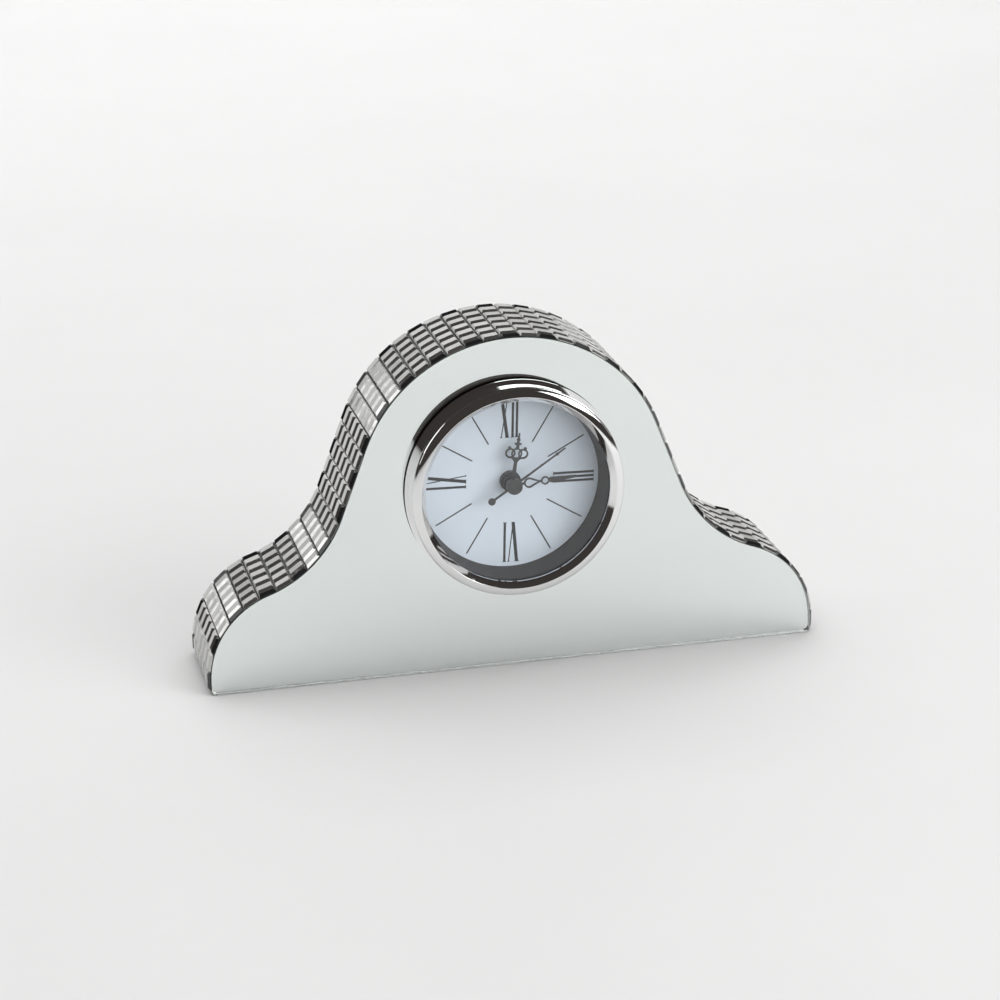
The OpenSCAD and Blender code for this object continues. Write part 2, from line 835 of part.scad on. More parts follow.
module coil_bobbin() {
    inner_r = core_w/2 + bobbin_t;
    color("white") {
        coil_round(coil_x - coil_half, coil_x + coil_half, inner_r);
        for (x = [coil_x - coil_half, coil_x + coil_half - bobbin_t]) coil_round(x, x + bobbin_t, coil_r);
    }
}

module coil_winding() {
    inner_r = core_w/2 + bobbin_t;
    color("chocolate") difference() {
        coil_round(coil_x - coil_half + bobbin_t, coil_x + coil_half - bobbin_t, coil_r - 0.3);
        coil_round(coil_x - coil_half, coil_x + coil_half, inner_r);
        translate([coil_x - coil_half, y_move + core_s - slip, clock_z + coil_z - core_w/2 - slip])
            cube([2*coil_half, stator_t + 2*slip, core_w + 2*slip]);
    }
}

module circuit_board() {
    color("darkgreen") layer(circuit_s, circuit_s + circuit_t) translate(board_at) square(board_size);
}

module circuit_chip() {
    chip_at = board_at + [4, 7];
    color("black") layer(circuit_s + circuit_t, circuit_s + circuit_t + 1) disc_at(chip_at, 2.6);
}

module quartz_crystal() {
    crystal_r = 1;
    crystal_at = board_at + [10.5, 3];
    y_crystal = y_move + circuit_s + circuit_t + crystal_r;
    color("silver") translate([crystal_at[0], y_crystal, clock_z + crystal_at[1]])
        cylinder(r = crystal_r, h = 6);
}

// Contact strips stand at the ends of the battery bay
module contact(x) {
    layer(battery_s - 5, battery_s + 4) translate([x, battery_at - 5]) square([contact_t, 10]);
}

module contact_positive() {
    color("gold") contact(move_in - contact_t);
}

module contact_negative() {
    gap = battery_start + move_in;
    color("gold") {
        contact(-move_in);
        layer(battery_s - 2, battery_s + 2) translate([-move_in, battery_at]) polygon([[contact_t, 4],
            [gap - contact_t, 0.8], [gap, 0], [gap - contact_t, -0.8], [contact_t, -4], [contact_t, -3.2],
            [gap - 2*contact_t, 0], [contact_t, 3.2]]);
    }
}

module battery() {
    place = [battery_start, y_move + battery_s, clock_z + battery_at];
    color("slategray") translate(place) rotate([0, 90, 0]) {
        cylinder(r = battery_r, h = battery_l);
        translate([0, 0, battery_l]) cylinder(r = battery_r*0.38, h = button_l);
    }
}

// Gears: a wheel or pinion outline with a tooth centred on the phase direction

module toothed(teeth, mod, phase, form) {
    r = teeth*mod/2;
    step = 360/teeth;
    corners = [[-form[4], -form[2]], [0, -form[0]], [form[3], -form[1]], [form[3], form[1]], [0, form[0]],
        [-form[4], form[2]]];
    polygon([for (i = [0 : teeth - 1], c = corners)
        (r + c[0]*mod)*[cos(phase + (i + c[1])*step), sin(phase + (i + c[1])*step)]]);
}

// Crossings that lighten a wheel: a ring of round windows
module windows(radius, hole_r) {
    for (i = [0 : 4]) rotate(72*i) translate([radius, 0]) circle(hole_r);
}

module rotor() {
    mod = 2*rotor_dist/(inter_teeth + rotor_leaves);
    color("dimgray") {
        layer(plate_s + plate_t/4, rear_wall_s - 0.3) disc_at(rotor_at, arbor_r);
        layer(inter_s - 0.1, magnet_s) translate(rotor_at)
            toothed(rotor_leaves, mod, rotor_dir + 180, leaf_form);
        layer(magnet_s, magnet_s + magnet_l) disc_at(rotor_at, magnet_r);
    }
}

module intermediate_wheel() {
    wheel_mod = 2*rotor_dist/(inter_teeth + rotor_leaves);
    leaf_mod = 2*inter_dist/(seconds_teeth + inter_leaves);
    color("ivory") {
        layer(plate_s + plate_t/4, rear_wall_s - 0.3) disc_at(inter_at, arbor_r);
        layer(seconds_s - 0.1, inter_s) translate(inter_at)
            toothed(inter_leaves, leaf_mod, inter_dir + 180, leaf_form);
        layer(inter_s, inter_s + wheel_t) translate(inter_at) difference() {
            toothed(inter_teeth, wheel_mod, rotor_dir + 180/inter_teeth, wheel_form);
            windows(inter_teeth*wheel_mod*0.32, inter_teeth*wheel_mod*0.11);
        }
    }
}

module seconds_wheel() {
    wheel_mod = 2*inter_dist/(seconds_teeth + inter_leaves);
    leaf_mod = 2*third_dist/(third_teeth + seconds_leaves);
    color("ivory") {
        layer(second_hand_s - hand_t, rear_wall_s - 0.3) circle(second_shaft_r);
        layer(third_s - 0.1, plate_s - layer_gap) toothed(seconds_leaves, leaf_mod, third_dir, leaf_form);
        layer(seconds_s, seconds_s + wheel_t)
            toothed(seconds_teeth, wheel_mod, inter_dir + 180/seconds_teeth, wheel_form);
    }
}

module third_wheel() {
    wheel_mod = 2*third_dist/(third_teeth + seconds_leaves);
    leaf_mod = 2*third_dist/(centre_teeth + third_leaves);
    color("ivory") {
        layer(move_wall/2 + 0.1, plate_s + plate_t*0.7) disc_at(third_at, arbor_r);
        layer(centre_s - 0.1, third_s) translate(third_at)
            toothed(third_leaves, leaf_mod, third_dir + 180, leaf_form);
        layer(third_s, third_s + wheel_t) translate(third_at) difference() {
            toothed(third_teeth, wheel_mod, third_dir + 180 + 180/third_teeth, wheel_form);
            windows(third_teeth*wheel_mod*0.32, third_teeth*wheel_mod*0.11);
        }
    }
}

module centre_wheel() {
    mod = 2*third_dist/(centre_teeth + third_leaves);
    color("ivory") layer(centre_s, centre_s + wheel_t) difference() {
        toothed(centre_teeth, mod, third_dir + 180/centre_teeth, wheel_form);
        circle(minute_bore_r);
        rotate(20) windows(centre_teeth*mod*0.32, centre_teeth*mod*0.11);
    }
}

module cannon_pinion() {
    color("ivory") difference() {
        union() {
            layer(minute_hand_s - hand_t, centre_s + wheel_t + layer_gap) circle(minute_tube_r);
            layer(cannon_s, cannon_s + cannon_l) toothed(cannon_leaves, minute_mod, minute_dir, leaf_form);
        }
        layer(minute_hand_s - hand_t - eps, third_s) circle(second_bore_r);
    }
}

module minute_wheel() {
    leaf_mod = 2*minute_dist/(hour_teeth + minute_leaves);
    color("ivory") difference() {
        union() {
            layer(hour_s - 0.1, minute_s) translate(minute_at)
                toothed(minute_leaves, leaf_mod, minute_dir + 180, leaf_form);
            layer(minute_s, minute_s + wheel_t) translate(minute_at)
                toothed(minute_teeth, minute_mod, minute_dir + 180 + 180/minute_teeth, wheel_form);
        }
        layer(move_wall, split) disc_at(minute_at, pivot_bore_r);
    }
}

module hour_wheel() {
    mod = 2*minute_dist/(hour_teeth + minute_leaves);
    color("ivory") difference() {
        union() {
            layer(hour_hand_s - hand_t, hour_s) circle(hour_pipe_r);
            layer(hour_s, hour_s + wheel_t) toothed(hour_teeth, mod, minute_dir + 180/hour_teeth, wheel_form);
        }
        layer(hour_hand_s - hand_t - eps, hour_s + wheel_t + eps) circle(minute_bore_r);
    }
}

module setting_shaft() {
    color("ivory") {
        layer(move_wall, move_d + knob_h) disc_at(set_at, set_shaft_r);
        layer(cannon_s, cannon_s + cannon_l) translate(set_at)
            toothed(set_leaves, minute_mod, set_dir + 180, leaf_form);
    }
}

module setting_knob() {
    flutes = 24;
    color("black") layer(move_d + 0.4, move_d + 0.4 + knob_h) translate(set_at) difference() {
        circle(knob_r);
        circle(set_shaft_r);
        for (i = [0 : flutes - 1]) rotate(360*i/flutes) translate([knob_r + 0.2, 0]) circle(0.45, $fn = 16);
    }
}

// Hands, drawn upright from the centre and turned to their angles

module hand(s, angle) {
    layer(s - hand_t, s) rotate(-angle) children();
}

module ring(place, out_r, w) {
    translate(place) difference() {
        circle(out_r);
        circle(out_r - w);
    }
}

// A bar that narrows from w0 at radius r0 to w1 at radius r1
module bar(r0, r1, w0, w1) {
    polygon([[-w0/2, r0], [w0/2, r0], [w1/2, r1], [-w1/2, r1]]);
}

module hour_hand() {
    crown_r = 0.6*hour_l;
    color("dimgray") {
        hand(hour_hand_s, hour_angle) difference() {
            union() {
                circle(hour_collar_r);
                bar(hour_collar_r - 0.5, crown_r - 2.4, 1.9, 1.5);
                bar(crown_r - 4.4, crown_r - 2.8, 1.6, 3.8);
                bar(crown_r - 2.9, crown_r - 2, 3.8, 6.4);
                ring([-3.2, crown_r], 2.5, 0.8);
                ring([3.2, crown_r], 2.5, 0.8);
                ring([0, crown_r], 2.7, 0.7);
                for (x = [-1, 1]) disc_at([x*3.9, crown_r + 2.7], 0.75);
                bar(crown_r + 2.4, hour_l, 1.6, 0.7);
                translate([-1.6, crown_r + 4.4]) square([3.2, 0.9]);
                disc_at([0, crown_r + 6.9], 0.9);
            }
            circle(hour_pipe_r);
        }
        hand(hour_hand_s - hand_t, hour_angle) difference() {
            circle(hour_collar_r - 1.2);
            circle(hour_pipe_r);
        }
    }
}

module minute_hand() {
    loop_r = minute_collar_r + 4.2;
    neck_at = loop_r + 5;
    eye_r = neck_at + 2.9;
    blade_r = eye_r + 2.1;
    color("dimgray") hand(minute_hand_s, minute_angle) difference() {
        union() {
            circle(minute_collar_r);
            bar(minute_collar_r - 0.4, loop_r - 2, 1.4, 1);
            difference() {
                union() {
                    disc_at([0, loop_r], 2.6);
                    bar(loop_r + 1, neck_at, 4.7, 0.9);
                }
                disc_at([0, loop_r], 1.8);
                bar(loop_r + 1, neck_at - 0.9, 2.9, 0.2);
            }
            bar(neck_at - 0.3, eye_r - 1.7, 1.2, 1);
            ring([0, eye_r], 2.1, 0.75);
            bar(blade_r - 0.4, blade_r + 0.6, 1.4, 2.8);
            bar(blade_r + 0.6, minute_l, 2.8, 1.2);
        }
        circle(minute_tube_r);
    }
}

module second_hand() {
    color("dimgray") difference() {
        union() {
            hand(second_hand_s, second_angle) {
                bar(0, second_l, 1.1, 0.6);
                bar(-tail_l + 1.8, 0, 0.9, 1.1);
                disc_at([0, second_l - 4.8], 0.8);
                disc_at([0, 1.8 - tail_l], 1.8);
            }
            layer(second_hand_s - cap_h, second_hand_s) circle(cap_r);
        }
        layer(second_hand_s - hand_t, second_hand_s + eps) circle(second_shaft_r);
    }
}

front_mirror();
front_board();
case_rim();
base_board();
back_board();
case_battens();
back_screws();
felt_base();
mosaic_left();
mosaic_dome();
mosaic_right();
mosaic_half_chips();
bezel();
lens();
inner_ring();
dial();
dial_print();
clock_can();
grip_band();
movement_front();
movement_rear();
neck_washer();
fixing_nut();
gear_plate();
stator();
coil_core();
coil_bobbin();
coil_winding();
circuit_board();
circuit_chip();
quartz_crystal();
contact_positive();
contact_negative();
battery();
rotor();
intermediate_wheel();
seconds_wheel();
third_wheel();
centre_wheel();
cannon_pinion();
minute_wheel();
hour_wheel();
setting_shaft();
setting_knob();
hour_hand();
minute_hand();
second_hand();
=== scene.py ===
"""Looks of the mirror mantel clock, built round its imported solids, in metres."""
import math

import bmesh
import bpy
from mathutils import Matrix, Vector


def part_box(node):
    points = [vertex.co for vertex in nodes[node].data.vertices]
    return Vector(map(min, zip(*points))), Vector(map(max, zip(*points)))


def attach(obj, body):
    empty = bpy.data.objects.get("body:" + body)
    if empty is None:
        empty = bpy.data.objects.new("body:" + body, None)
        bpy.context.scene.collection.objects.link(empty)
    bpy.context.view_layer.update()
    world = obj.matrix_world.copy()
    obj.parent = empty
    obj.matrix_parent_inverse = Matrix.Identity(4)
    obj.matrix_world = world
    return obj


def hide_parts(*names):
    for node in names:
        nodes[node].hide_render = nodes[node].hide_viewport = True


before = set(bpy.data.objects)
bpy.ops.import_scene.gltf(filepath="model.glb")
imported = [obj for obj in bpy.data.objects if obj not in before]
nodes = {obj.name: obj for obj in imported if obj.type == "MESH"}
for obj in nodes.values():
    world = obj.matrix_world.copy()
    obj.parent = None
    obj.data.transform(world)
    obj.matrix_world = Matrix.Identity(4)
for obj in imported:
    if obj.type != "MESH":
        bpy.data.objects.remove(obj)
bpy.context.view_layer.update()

MM = 0.001
# Points closer than this are one point
WELD = 0.01*MM
scene = bpy.context.scene

# Camera at the photograph's angle
AZIMUTH = math.radians(-12.84)
ELEVATION = math.radians(19.49)
ROLL = math.radians(-1.17)
DISTANCE = 1.4707
FOCAL = 3.073
AIM_X = -0.00701
AIM_Z = 0.08528
SENSOR = 36.0

y_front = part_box("front_mirror")[0].y
y_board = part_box("front_mirror")[1].y


def direction(azimuth, elevation):
    """From the object outwards: azimuth turns from the front to the right, elevation rises."""
    level = math.cos(elevation)
    return Vector((math.sin(azimuth)*level, -math.cos(azimuth)*level, math.sin(elevation)))


def add_camera():
    back = direction(AZIMUTH, ELEVATION)
    right = Vector((math.cos(AZIMUTH), math.sin(AZIMUTH), 0))
    up = back.cross(right)
    rolled_right = math.cos(ROLL)*right + math.sin(ROLL)*up
    rolled_up = math.cos(ROLL)*up - math.sin(ROLL)*right
    camera = bpy.data.objects.new("photo_camera", bpy.data.cameras.new("photo_camera"))
    camera.data.sensor_width = SENSOR
    camera.data.lens = FOCAL*SENSOR
    turn = Matrix((rolled_right, rolled_up, back)).transposed().to_4x4()
    camera.matrix_world = Matrix.Translation(Vector((AIM_X, y_front, AIM_Z)) + DISTANCE*back) @ turn
    scene.collection.objects.link(camera)
    scene.camera = camera


# Materials

# The part of a noise texture's range that its values mostly fill
NOISE_LOW = 0.3
NOISE_HIGH = 0.7
# Where a colour mix node has its two colours and its result
MIX_LOW = 6
MIX_HIGH = 7
MIX_RESULT = 2


class Surface:
    """A Principled material with helpers that feed its inputs from textures."""

    def __init__(self, name, colour, roughness, metallic=0.0, **inputs):
        self.material = bpy.data.materials.new(name)
        self.material.use_nodes = True
        self.tree = self.material.node_tree
        self.shader = self.tree.nodes["Principled BSDF"]
        self.shader.inputs["Base Color"].default_value = (*colour, 1)
        self.shader.inputs["Roughness"].default_value = roughness
        self.shader.inputs["Metallic"].default_value = metallic
        for key, value in inputs.items():
            self.shader.inputs[key.replace("_", " ")].default_value = value
        self.coordinates = self.tree.nodes.new("ShaderNodeTexCoord").outputs["Object"]

    def add(self, kind, **inputs):
        node = self.tree.nodes.new(kind)
        for key, value in inputs.items():
            socket = node.inputs[key.replace("_", " ")]
            if isinstance(value, bpy.types.NodeSocket):
                self.tree.links.new(value, socket)
            else:
                socket.default_value = value
        return node

    def link(self, output, key):
        self.tree.links.new(output, self.shader.inputs[key])

    def stretched(self, scale):
        return self.add("ShaderNodeMapping", Vector=self.coordinates, Scale=scale).outputs["Vector"]

    def noise(self, size, detail=3.0):
        """Even mottling with features about size metres wide."""
        vector = self.stretched((1, 1, 1))
        return self.add("ShaderNodeTexNoise", Vector=vector, Scale=1/size, Detail=detail).outputs["Fac"]

    def ranged(self, value, low, high):
        """A noise value brought between low and high."""
        node = self.add("ShaderNodeMapRange", Value=value, From_Min=NOISE_LOW, From_Max=NOISE_HIGH,
                        To_Min=low, To_Max=high)
        return node.outputs["Result"]

    def mix(self, factor, low, high):
        node = self.tree.nodes.new("ShaderNodeMix")
        node.data_type = "RGBA"
        self.tree.links.new(factor, node.inputs["Factor"])
        node.inputs[MIX_LOW].default_value = (*low, 1)
        node.inputs[MIX_HIGH].default_value = (*high, 1)
        return node.outputs[MIX_RESULT]

    def bump(self, height, distance, strength=1.0):
        node = self.add("ShaderNodeBump", Height=height, Distance=distance, Strength=strength)
        self.link(node.outputs["Normal"], "Normal")

    def mottle(self, size, low, high, rough_low, rough_high):
        """Colour that varies over features of that size, and roughness over slightly smaller ones."""
        rough_size = size*0.6
        self.link(self.mix(self.ranged(self.noise(size), 0, 1), low, high), "Base Color")
        self.link(self.ranged(self.noise(rough_size), rough_low, rough_high), "Roughness")


def scaled(colour, factor):
    return tuple(c*factor for c in colour)


def plain(name, colour, roughness, metallic=0.0, size=4*MM, spread=0.12,
          grain=0.3*MM, depth=0.01*MM, **inputs):
    """A surface with slight mottling and a fine grain."""
    rough_spread = 0.15
    surface = Surface(name, colour, roughness, metallic, **inputs)
    surface.mottle(size, scaled(colour, 1 - spread), scaled(colour, 1 + spread),
                   roughness*(1 - rough_spread), roughness*(1 + rough_spread))
    surface.bump(surface.noise(grain, detail=2), depth, strength=0.5)
    return surface.material


def mirror_silver_material():
    surface = Surface("silver", (0.93, 0.945, 0.945), roughness=0.012, metallic=1.0)
    surface.link(surface.ranged(surface.noise(50*MM), 0.008, 0.02), "Roughness")
    return surface.material


def mirror_glass_material(name, colour, roughness):
    tint = (0.45, 0.82, 0.72, 1)
    density = 6
    surface = Surface(name, colour, roughness, IOR=1.52, Transmission_Weight=1.0)
    absorption = surface.add("ShaderNodeVolumeAbsorption", Color=tint, Density=density)
    output = surface.tree.nodes["Material Output"]
    surface.tree.links.new(absorption.outputs["Volume"], output.inputs["Volume"])
    return surface.material


def lens_material():
    """Clear glass that casts no shadow on the dial."""
    surface = Surface("lens_glass", (0.985, 0.995, 0.995), roughness=0.0, IOR=1.5, Transmission_Weight=1.0)
    tree = surface.tree
    through = tree.nodes.new("ShaderNodeBsdfTransparent")
    path = tree.nodes.new("ShaderNodeLightPath")
    mix = tree.nodes.new("ShaderNodeMixShader")
    tree.links.new(path.outputs["Is Shadow Ray"], mix.inputs["Fac"])
    tree.links.new(surface.shader.outputs["BSDF"], mix.inputs[1])
    tree.links.new(through.outputs["BSDF"], mix.inputs[2])
    tree.links.new(mix.outputs["Shader"], tree.nodes["Material Output"].inputs["Surface"])
    return surface.material


def chip_finish(surface, rough_low, rough_high):
    """The uneven gloss and the slight waves of a pressed glass chip."""
    surface.link(surface.ranged(surface.noise(3*MM), rough_low, rough_high), "Roughness")
    surface.bump(surface.noise(4*MM, detail=1), 0.04*MM, strength=0.6)


def mosaic_material():
    """Silver whose tone differs from chip to chip."""
    dull, bright = (0.44, 0.44, 0.43), (0.60, 0.60, 0.59)
    surface = Surface("mosaic_silver", (0.52, 0.52, 0.51), roughness=0.1, metallic=0.93)
    island = surface.tree.nodes.new("ShaderNodeNewGeometry").outputs["Random Per Island"]
    surface.link(surface.mix(island, dull, bright), "Base Color")
    chip_finish(surface, 0.06, 0.16)
    return surface.material


def black_glass_material():
    surface = Surface("black_glass", (0.012, 0.012, 0.013), roughness=0.1, IOR=1.52)
    chip_finish(surface, 0.06, 0.18)
    return surface.material


def chrome_material():
    surface = Surface("chrome", (0.86, 0.86, 0.86), roughness=0.04, metallic=1.0)
    surface.link(surface.ranged(surface.noise(20*MM), 0.025, 0.06), "Roughness")
    return surface.material


def dial_material():
    colour = (0.76, 0.838, 0.93)
    surface = Surface("dial_lacquer", colour, roughness=0.42, Specular_IOR_Level=0.35)
    surface.mottle(30*MM, scaled(colour, 0.975), scaled(colour, 1.02), 0.38, 0.46)
    surface.bump(surface.noise(0.4*MM, detail=2), 0.004*MM, strength=0.5)
    return surface.material


def wood_material():
    late, early = (0.42, 0.27, 0.14), (0.68, 0.50, 0.31)
    along_grain = (1, 0.12, 1)
    surface = Surface("softwood", (0.62, 0.45, 0.27), roughness=0.6)
    vector = surface.stretched(along_grain)
    wave = surface.add("ShaderNodeTexWave", Vector=vector, Scale=420, Distortion=3, Detail=2)
    surface.link(surface.mix(wave.outputs["Fac"], late, early), "Base Color")
    surface.bump(wave.outputs["Fac"], 0.05*MM, strength=0.4)
    return surface.material


def winding_material():
    groove, crown = (0.30, 0.11, 0.05), (0.72, 0.34, 0.15)
    surface = Surface("copper_wire", (0.62, 0.27, 0.12), roughness=0.3, metallic=1.0)
    wave = surface.add("ShaderNodeTexWave", Vector=surface.coordinates, Scale=1600, Distortion=0.4)
    wave.bands_direction = "X"
    surface.link(surface.mix(wave.outputs["Fac"], groove, crown), "Base Color")
    surface.bump(wave.outputs["Fac"], 0.06*MM)
    return surface.material


def felt_material():
    dark, light = (0.015, 0.015, 0.017), (0.055, 0.055, 0.06)
    surface = Surface("felt", (0.03, 0.03, 0.032), roughness=0.95, Sheen_Weight=0.3)
    fibres = surface.noise(0.6*MM, detail=6)
    surface.link(surface.mix(fibres, dark, light), "Base Color")
    surface.bump(fibres, 0.2*MM)
    return surface.material


def dress(material, *names):
    for name in names:
        data = nodes[name].data
        data.materials.clear()
        data.materials.append(material)


def dress_case():
    paint = plain("black_paint", (0.014, 0.014, 0.015), 0.4, spread=0.25, grain=0.8*MM, depth=0.04*MM)
    dress(paint, "front_board", "case_rim", "base_board", "back_board")
    dress(wood_material(), "case_battens")
    dress(plain("zinc", (0.60, 0.60, 0.61), 0.3, metallic=1.0), "back_screws")
    dress(felt_material(), "felt_base")


def dress_face():
    dress(lens_material(), "lens")
    dress(plain("satin_grey", (0.02, 0.02, 0.022), 0.6, spread=0.08, Specular_IOR_Level=0.12), "inner_ring")
    dress(dial_material(), "dial")
    dress(plain("ink", (0.022, 0.024, 0.027), 0.6, spread=0.1, Specular_IOR_Level=0.2), "dial_print")
    lacquer = plain("hand_lacquer", (0.03, 0.031, 0.033), 0.36, metallic=0.2, spread=0.1)
    dress(lacquer, "hour_hand", "minute_hand", "second_hand")


def dress_movement():
    moulding = plain("black_moulding", (0.022, 0.022, 0.024), 0.45, grain=0.5*MM, depth=0.03*MM)
    dress(moulding, "clock_can", "movement_front", "movement_rear", "setting_knob")
    dress(plain("rubber", (0.02, 0.02, 0.02), 0.8), "grip_band")
    blackened = plain("blackened", (0.045, 0.045, 0.048), 0.35, metallic=0.6, spread=0.2)
    dress(blackened, "neck_washer", "fixing_nut")
    strip = plain("plated_strip", (0.70, 0.66, 0.55), 0.28, metallic=1.0)
    dress(strip, "contact_positive", "contact_negative")
    acetal = plain("acetal", (0.80, 0.78, 0.70), 0.35, spread=0.05, Subsurface_Weight=0.1)
    dress(acetal, "gear_plate", "coil_bobbin", "intermediate_wheel", "seconds_wheel", "third_wheel",
          "centre_wheel", "cannon_pinion", "minute_wheel", "hour_wheel", "setting_shaft")
    iron = plain("bare_iron", (0.42, 0.42, 0.43), 0.38, metallic=1.0)
    dress(iron, "stator", "coil_core", "quartz_crystal")
    dress(plain("magnet", (0.10, 0.10, 0.105), 0.4), "rotor")
    dress(winding_material(), "coil_winding")
    dress(plain("solder_resist", (0.03, 0.16, 0.06), 0.3), "circuit_board")
    dress(plain("epoxy", (0.012, 0.012, 0.012), 0.2), "circuit_chip")
    dress(plain("battery_sleeve", (0.05, 0.055, 0.065), 0.3), "battery")


def linked(name, data):
    """A new object of that name in the scene, from its mesh or its light."""
    item = bpy.data.objects.new(name, data)
    scene.collection.objects.link(item)
    return item


# The mirror: clear glass with ground edges in front of its silver


def add_mirror():
    arris = 0.35*MM
    arris_angle = math.radians(50)
    silver_t = 0.1*MM
    margin = 0.02*MM
    facing_limit = 0.5
    y_silver = y_board - margin - silver_t
    y_middle = (y_front + y_board)/2
    glass = linked("mirror_glass", nodes["front_mirror"].data.copy())
    glass.data.materials.clear()
    glass.data.materials.append(mirror_glass_material("mirror_glass", (0.975, 0.99, 0.983), roughness=0.0))
    glass.data.materials.append(mirror_glass_material("ground_glass", (0.45, 0.50, 0.48), roughness=0.45))
    for polygon in glass.data.polygons:
        is_edge = abs(polygon.normal.y) < facing_limit
        polygon.material_index = int(is_edge)
    weld = glass.modifiers.new("weld", "WELD")
    weld.merge_threshold = WELD
    bevel = glass.modifiers.new("arris", "BEVEL")
    bevel.width = arris
    bevel.segments = 1
    bevel.limit_method = "ANGLE"
    bevel.angle_limit = arris_angle
    silver = linked("mirror_silver", nodes["front_mirror"].data.copy())
    silver.data.materials.clear()
    silver.data.materials.append(mirror_silver_material())
    for vertex in glass.data.vertices:
        if vertex.co.y > y_middle:
            vertex.co.y = y_silver - margin
    for vertex in silver.data.vertices:
        vertex.co.y = y_silver if vertex.co.y < y_middle else y_board - margin
    for piece in (glass, silver):
        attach(piece, "case")
        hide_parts("front_mirror")


# The bezel: a cone inside a narrow crest, a slightly rounded front and a rounded edge


def arc(centre, radius, start, end, steps):
    """Points of a profile; an angle of 0 faces the viewer and 90 degrees faces outwards."""
    points = []
    for i in range(steps + 1):
        angle = math.radians(start + (end - start)*i/steps)
        points.append((centre[0] + radius*math.sin(angle), centre[1] - radius*math.cos(angle)))
    return points


def arc_middle(point, radius, angle):
    """Middle of the arc that passes through the point at that angle."""
    turn = math.radians(angle)
    return (point[0] - radius*math.sin(turn), point[1] + radius*math.cos(turn))


def bezel_profile():
    low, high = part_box("bezel")
    y_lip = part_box("lens")[0].y
    inner_r, lip_r, step_r, wall_r = 48.2*MM, 45.2*MM, 52.0*MM, 52.2*MM
    foot_t, step_back = 0.8*MM, 0.5*MM
    crest_r, front_r, edge_r = 0.4*MM, 9.9*MM, 2.2*MM
    cone_tilt, crest_tilt, edge_tilt = -48.7, 12, 30
    edge_steps, front_steps, crest_steps = 10, 14, 8
    edge_drop = edge_r*math.cos(math.radians(edge_tilt))
    front_drop = front_r*(math.cos(math.radians(crest_tilt)) - math.cos(math.radians(edge_tilt)))
    crest_drop = crest_r*(1 - math.cos(math.radians(crest_tilt)))
    edge_middle = (step_r - edge_r, low.y + crest_drop + front_drop + edge_drop)
    edge = arc(edge_middle, edge_r, 90, edge_tilt, edge_steps)
    front = arc(arc_middle(edge[-1], front_r, edge_tilt), front_r, edge_tilt, crest_tilt, front_steps)
    crest = arc(arc_middle(front[-1], crest_r, crest_tilt), crest_r, crest_tilt, cone_tilt, crest_steps)
    cone_y = crest[-1][1] + (crest[-1][0] - lip_r)*math.tan(math.radians(-cone_tilt))
    outside = [(inner_r, high.y), (high.x, high.y), (high.x, high.y - foot_t), (wall_r, high.y - foot_t),
               (wall_r, y_lip - step_back), (step_r, y_lip - step_back)]
    inside = [(lip_r, cone_y), (lip_r, y_lip), (inner_r, y_lip)]
    return outside + edge + front[1:] + crest[1:] + inside


def add_bezel():
    turns = 240
    sharp_angle = math.radians(25)
    low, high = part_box("bezel")
    centre_z = (low.z + high.z)/2
    profile = bezel_profile()
    count = len(profile)
    verts = []
    for i in range(turns):
        angle = 2*math.pi*i/turns
        verts += [(r*math.sin(angle), y, centre_z + r*math.cos(angle)) for r, y in profile]
    faces = []
    for i in range(turns):
        here, after = i*count, (i + 1)%turns*count
        for j in range(count):
            following = (j + 1)%count
            faces.append((here + j, after + j, after + following, here + following))
    mesh = bpy.data.meshes.new("bezel_ring")
    mesh.from_pydata(verts, [], faces)
    mesh.shade_smooth()
    mesh.set_sharp_from_angle(angle=sharp_angle)
    mesh.materials.append(chrome_material())
    piece = linked("bezel_ring", mesh)
    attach(piece, "case")
    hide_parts("bezel")


# The mosaic: each chip with broad side bevels and softened edges


def chips(node):
    """The points of each chip of a node, one list per chip."""
    shape = bmesh.new()
    shape.from_mesh(nodes[node].data)
    bmesh.ops.remove_doubles(shape, verts=shape.verts, dist=WELD)
    shape.verts.index_update()
    seen = set()
    groups = []
    for seed in shape.verts:
        if seed.index in seen:
            continue
        seen.add(seed.index)
        group = [seed]
        for vertex in group:
            for edge in vertex.link_edges:
                other = edge.other_vert(vertex)
                if other.index not in seen:
                    seen.add(other.index)
                    group.append(other)
        groups.append([vertex.co.copy() for vertex in group])
    shape.free()
    return groups


def chip_axes(points):
    """A chip's middle, its direction along the outline and its direction outwards."""
    middle = sum(points, Vector())/len(points)
    offsets = [point - middle for point in points]
    xx = sum(offset.x*offset.x for offset in offsets)
    zz = sum(offset.z*offset.z for offset in offsets)
    xz = sum(offset.x*offset.z for offset in offsets)
    angle = math.atan2(2*xz, xx - zz)/2
    along = Vector((math.cos(angle), 0, math.sin(angle)))
    out = Vector((-along.z, 0, along.x))
    # The bevelled top is the smaller end, so the wide points lie inwards
    if sum(abs(offset.dot(along))*offset.dot(out) for offset in offsets) > 0:
        out.negate()
    return middle, along, out


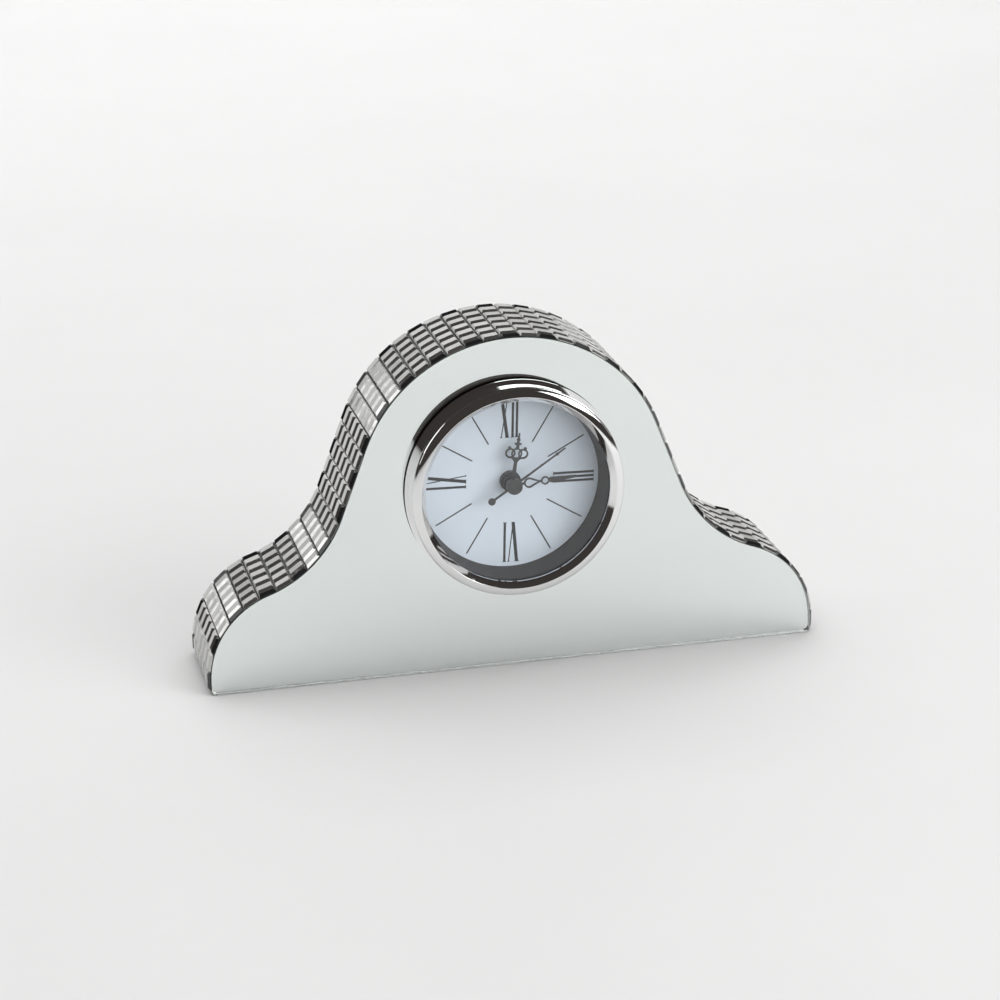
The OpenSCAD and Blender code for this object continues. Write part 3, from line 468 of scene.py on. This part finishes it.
def add_chip(shape, points):
    upright = 0.4*MM
    side_bevel = 2.1*MM
    end_bevel = 0.8*MM
    middle, along, out = chip_axes(points)
    half_l = max((point - middle).dot(along) for point in points)
    low = min((point - middle).dot(out) for point in points)
    high = max((point - middle).dot(out) for point in points)
    front = min(point.y for point in points)
    back = max(point.y for point in points)
    half_w = (back - front)/2
    foot = Vector((middle.x, (front + back)/2, middle.z))
    levels = ((low, 0, 0), (low + upright, 0, 0), (high, end_bevel, side_bevel))
    rings = []
    for level, end_inset, side_inset in levels:
        ring = []
        for end, side in ((-1, -1), (1, -1), (1, 1), (-1, 1)):
            across = Vector((0, side*(half_w - side_inset), 0))
            ring.append(shape.verts.new(foot + out*level + along*end*(half_l - end_inset) + across))
        rings.append(ring)
    faces = [shape.faces.new(rings[0]), shape.faces.new(rings[-1])]
    for lower, upper in zip(rings, rings[1:]):
        for i in range(4):
            faces.append(shape.faces.new((lower[i], lower[i - 1], upper[i - 1], upper[i])))
    bmesh.ops.recalc_face_normals(shape, faces=faces)


def add_mosaic(node, material):
    soft_w = 0.28*MM
    soft_angle = math.radians(20)
    shape = bmesh.new()
    for points in chips(node):
        add_chip(shape, points)
    mesh = bpy.data.meshes.new(node + "_chips")
    shape.to_mesh(mesh)
    shape.free()
    mesh.shade_smooth()
    mesh.materials.append(material)
    piece = linked(node + "_chips", mesh)
    soften = piece.modifiers.new("soften", "BEVEL")
    soften.width = soft_w
    soften.segments = 2
    soften.limit_method = "ANGLE"
    soften.angle_limit = soft_angle
    soften.harden_normals = True
    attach(piece, "case")
    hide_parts(node)


# Floor, backdrop and lights


def add_stage():
    floor_w, sweep_w, near, sweep_start, sweep_r, top = 18.0, 8.0, -4.0, 2.2, 1.0, 2.6
    steps = 24
    pale = (0.80, 0.80, 0.80)
    profile = [(floor_w, near, 0.0), (floor_w, sweep_start, 0.0), (sweep_w, sweep_start, 0.0)]
    for i in range(1, steps + 1):
        angle = math.pi/2*i/steps
        profile.append((sweep_w, sweep_start + sweep_r*math.sin(angle), sweep_r*(1 - math.cos(angle))))
    profile.append((sweep_w, sweep_start + sweep_r, top))
    verts = [(side*width/2, y, z) for width, y, z in profile for side in (-1, 1)]
    faces = [(2*i, 2*i + 1, 2*i + 3, 2*i + 2) for i in range(len(profile) - 1)]
    mesh = bpy.data.meshes.new("floor")
    mesh.from_pydata(verts, [], faces)
    mesh.shade_smooth()
    mesh.materials.append(plain("pale_floor", pale, 0.55, size=0.3, spread=0.01, Specular_IOR_Level=0.2))
    floor = linked("floor", mesh)


def add_light(name, azimuth, elevation, distance, size, power, aim=(0, 0, 0.08)):
    """A soft box in that direction from the object, in degrees, turned towards the aim."""
    data = bpy.data.lights.new(name, "AREA")
    data.shape = "RECTANGLE"
    data.size, data.size_y = size
    data.energy = power
    light = linked(name, data)
    light.location = distance*direction(math.radians(azimuth), math.radians(elevation))
    light.rotation_euler = (light.location - Vector(aim)).to_track_quat("Z", "Y").to_euler()
    return light


def add_lights():
    add_light("key_right", azimuth=54, elevation=30, distance=2.0, size=(1.3, 0.95), power=12)
    add_light("strip_left", azimuth=-101, elevation=32, distance=1.9, size=(0.42, 0.85), power=2.15)
    # Panels for the mosaic to mirror when it is seen from the sides
    add_light("side_left", azimuth=-84, elevation=25, distance=2.2, size=(0.6, 1.1), power=2.0)
    add_light("side_right", azimuth=90, elevation=22, distance=2.2, size=(0.5, 1.1), power=1.0)
    add_light("back_left", azimuth=-135, elevation=28, distance=2.6, size=(1.2, 1.2), power=4.0)
    add_light("back_right", azimuth=135, elevation=28, distance=2.6, size=(1.2, 1.2), power=4.0)
    add_light("backdrop", azimuth=180, elevation=49, distance=2.9, size=(3.0, 0.6), power=28,
              aim=(0, 3.0, 0.6))
    ceiling = add_light("ceiling", azimuth=0, elevation=90, distance=2.8, size=(4.5, 4.5), power=87,
                        aim=(0, 0, 0))
    fill = add_light("fill", azimuth=22, elevation=14, distance=2.6, size=(2.4, 0.9), power=17.5)
    # The two broad lights don't show in the chrome and the silver, which mirror a dark room there
    for unseen in (ceiling, fill):
        unseen.visible_glossy = False
    ceiling.visible_transmission = False


def add_world():
    warm_dark = (1.0, 0.88, 0.82, 1)
    strength = 0.045
    world = bpy.data.worlds.new("studio")
    scene.world = world
    world.use_nodes = True
    background = world.node_tree.nodes["Background"]
    background.inputs["Color"].default_value = warm_dark
    background.inputs["Strength"].default_value = strength


add_camera()
dress_case()
dress_face()
dress_movement()
add_mirror()
add_bezel()
silver_chips = mosaic_material()
for run in ("mosaic_left", "mosaic_dome", "mosaic_right"):
    add_mosaic(run, silver_chips)
add_mosaic("mosaic_half_chips", black_glass_material())
add_stage()
add_lights()
add_world()
scene.view_settings.view_transform = "Standard"
